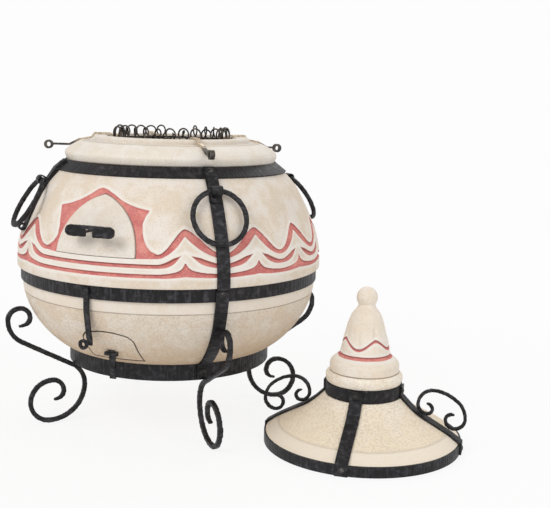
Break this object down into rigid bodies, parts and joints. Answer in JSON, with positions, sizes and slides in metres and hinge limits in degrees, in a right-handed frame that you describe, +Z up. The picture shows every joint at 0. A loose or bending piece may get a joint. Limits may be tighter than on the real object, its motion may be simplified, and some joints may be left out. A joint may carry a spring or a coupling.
{
  "type": "clay tandoor oven",
  "caption": "Round banded clay oven in an iron cage on scroll feet, with an arched front door, an ash vent, a skewer rack on the mouth and a separate conical lid.",
  "frame": {"origin": "point on the floor under the centre of the oven's mouth", "axes": "+Z up; the pictured front faces -Y; +X is to the right, where the lid lies on the floor"},
  "size_m": [1.1019, 0.8199, 0.732],
  "materials": {
    "clay_pale": "matte unglazed fired clay",
    "clay_sand": "matte unglazed fired clay, sandier",
    "forged_iron": "hammered, blackened",
    "rivet_steel": "blackened rivets",
    "grate_iron": "raw casting",
    "rack_wire": "drawn wire, darkened by heat"
  },
  "bodies": {
    "stove": {"lower_bowl": "clay_sand", "upper_belly": "clay_pale", "neck_collar": "clay_pale", "mouth_ring": "clay_pale", "base_hoop": "forged_iron", "waist_hoop": "forged_iron", "shoulder_hoop": "forged_iron", "strap_front": "forged_iron", "strap_rear": "forged_iron", "hanger_right": "forged_iron", "hanger_left": "forged_iron", "clip_front": "forged_iron", "clip_right": "forged_iron", "clip_rear": "forged_iron", "clip_left": "forged_iron", "leg_front": "forged_iron", "leg_right": "forged_iron", "leg_rear": "forged_iron", "leg_left": "forged_iron", "shoulder_rivets": "rivet_steel", "waist_rivets": "rivet_steel", "base_rivets": "rivet_steel", "latch_rivet": "rivet_steel"},
    "arch_door": {"arch_door": "clay_pale", "door_grip": "forged_iron"},
    "vent_plug": {"vent_plug": "clay_sand", "plug_tab": "forged_iron"},
    "vent_latch": {"vent_latch": "forged_iron"},
    "ring_front": {"ring_front": "forged_iron"},
    "ring_right": {"ring_right": "forged_iron"},
    "ring_rear": {"ring_rear": "forged_iron"},
    "ring_left": {"ring_left": "forged_iron"},
    "rack": {"rack_hoop": "rack_wire", "rack_spring": "rack_wire", "rack_rod_front": "rack_wire", "rack_rod_right": "rack_wire", "rack_rod_rear": "rack_wire", "rack_rod_left": "rack_wire"},
    "fire_grate": {"fire_grate": "grate_iron"},
    "lid": {"lid_dome": "clay_pale", "lid_rim_hoop": "forged_iron", "lid_neck_hoop": "forged_iron", "lid_strap_front": "forged_iron", "lid_strap_right": "forged_iron", "lid_strap_rear": "forged_iron", "lid_strap_left": "forged_iron", "lid_scroll_right": "forged_iron", "lid_scroll_left": "forged_iron", "lid_rim_rivets": "rivet_steel", "lid_neck_rivets": "rivet_steel"},
    "lid_cap": {"lid_cap": "clay_pale"}
  },
  "joints": [
    {"name": "door_pull", "type": "slide", "parent": "stove", "child": "arch_door", "axis": [-0.3665, -0.9304, 0], "range_m": [0, 0.15]},
    {"name": "vent_latch_swing", "type": "hinge", "parent": "stove", "child": "vent_latch", "pos_m": [-0.15073, -0.34665, 0.375], "axis": [0.3987, 0.9171, 0], "range_deg": [0, 80]},
    {"name": "vent_plug_pull", "type": "slide", "parent": "stove", "child": "vent_plug", "axis": [-0.3256, -0.9455, 0], "range_m": [0, 0.05]},
    {"name": "ring_front_swing", "type": "hinge", "parent": "stove", "child": "ring_front", "pos_m": [0.1317, -0.29581, 0.60185], "axis": [-0.9135, -0.4067, 0], "range_deg": [0, 110]},
    {"name": "ring_right_swing", "type": "hinge", "parent": "stove", "child": "ring_right", "pos_m": [0.29581, 0.1317, 0.60185], "axis": [0.4067, -0.9135, 0], "range_deg": [0, 110]},
    {"name": "ring_rear_swing", "type": "hinge", "parent": "stove", "child": "ring_rear", "pos_m": [-0.1317, 0.29581, 0.60185], "axis": [0.9135, 0.4067, 0], "range_deg": [0, 110]},
    {"name": "ring_left_swing", "type": "hinge", "parent": "stove", "child": "ring_left", "pos_m": [-0.29581, -0.1317, 0.60185], "axis": [-0.4067, 0.9135, 0], "range_deg": [0, 110]},
    {"name": "rack_lift", "type": "slide", "parent": "stove", "child": "rack", "axis": [0, 0, 1], "range_m": [0, 0.15]},
    {"name": "grate_lift", "type": "slide", "parent": "stove", "child": "fire_grate", "axis": [0, 0, 1], "range_m": [0, 0.3]},
    {"name": "lid_carry", "type": "slide", "parent": "stove", "child": "lid", "axis": [0.5272, -0.2251, 0.8194], "range_m": [0, 0.6]},
    {"name": "lid_cap_lift", "type": "slide", "parent": "lid", "child": "lid_cap", "axis": [0, 0, 1], "range_m": [0, 0.1]}
  ],
  "couplings": [
    {"joint": "vent_plug_pull", "follows": "vent_latch_swing", "m_per_rad": 0.0358}
  ]
}
